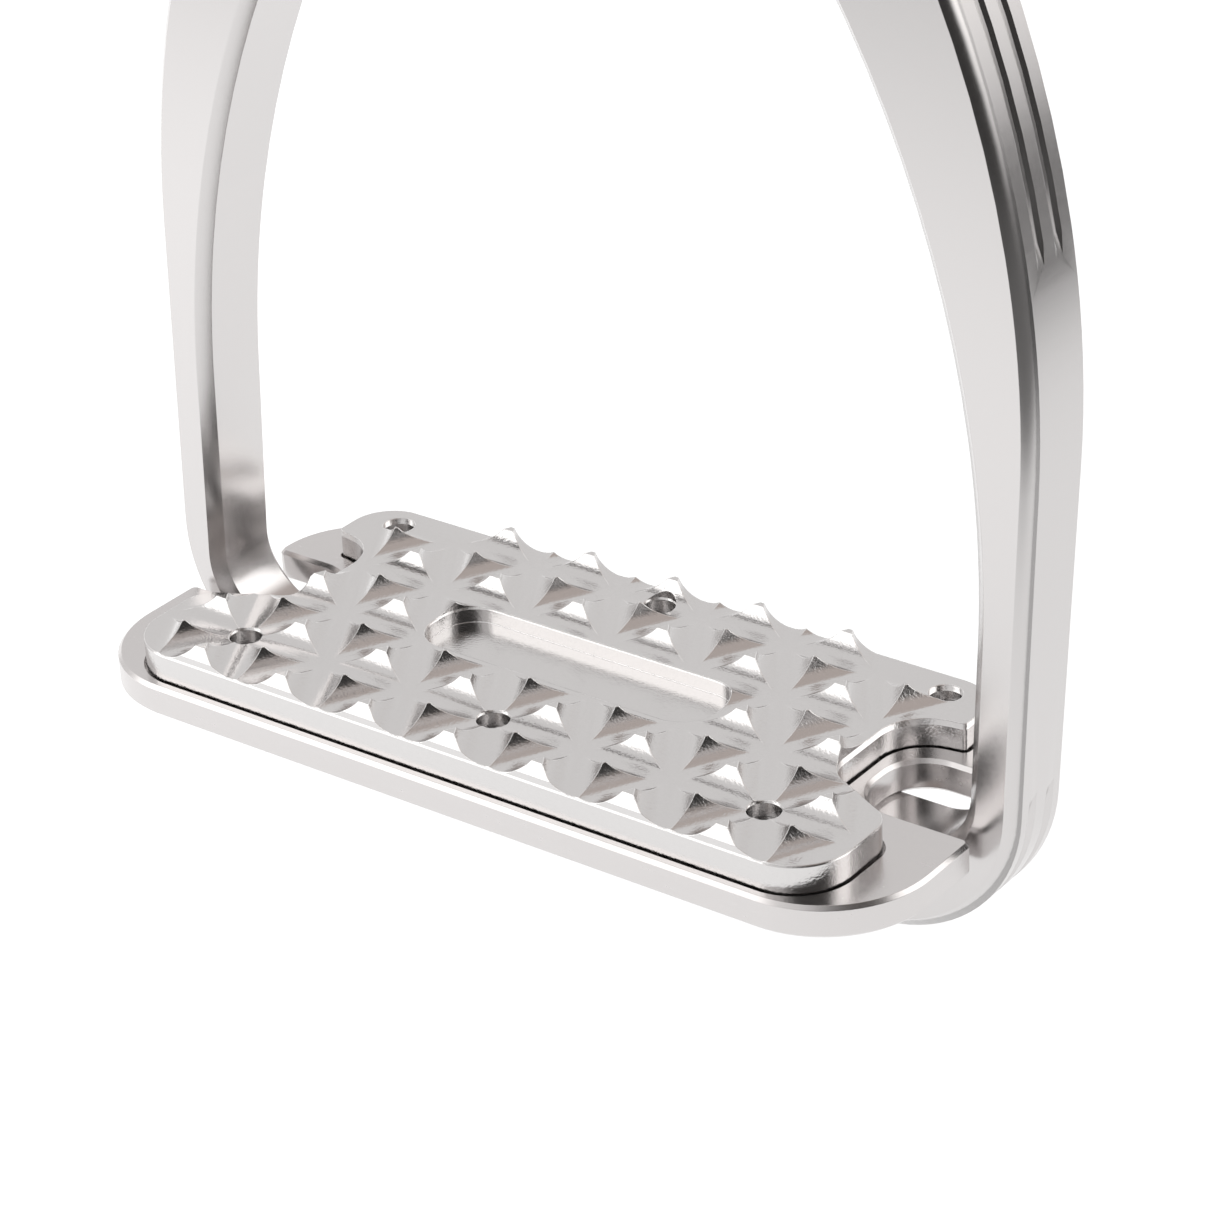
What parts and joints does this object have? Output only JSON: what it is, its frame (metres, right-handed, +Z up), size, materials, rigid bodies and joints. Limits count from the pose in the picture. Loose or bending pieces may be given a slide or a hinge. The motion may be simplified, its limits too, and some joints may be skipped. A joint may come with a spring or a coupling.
{
  "type": "stirrup iron",
  "caption": "Stirrup iron: a bevelled arch with a leather eye, a sloped foot plate notched round its arms and a milled grip tread of sharp pyramids, screwed together.",
  "frame": {"origin": "bottom centre of the whole part: under the middle of the arch's bar, on the middle of the footbed's depth", "axes": "+Z up towards the leather eye, +X along the bar towards the footbed's high end, +Y to the rear"},
  "size_m": [0.1332, 0.053, 0.171],
  "materials": {
    "arch_aluminium": "satin milled and anodised silver",
    "plate_aluminium": "satin milled and anodised silver, bright bevels",
    "tread_aluminium": "bright ball-milled, anodised silver",
    "screw_steel": "plain stainless steel"
  },
  "bodies": {
    "root": {"arch": "arch_aluminium", "foot_plate": "plate_aluminium", "tread": "tread_aluminium", "tread_screw_front_left": "screw_steel", "tread_screw_front_middle": "screw_steel", "tread_screw_front_right": "screw_steel", "tread_screw_rear_left": "screw_steel", "tread_screw_rear_middle": "screw_steel", "tread_screw_rear_right": "screw_steel", "bar_screw_left_outer": "screw_steel", "bar_screw_left_inner": "screw_steel", "bar_screw_right_inner": "screw_steel", "bar_screw_right_outer": "screw_steel"}
  },
  "joints": []
}
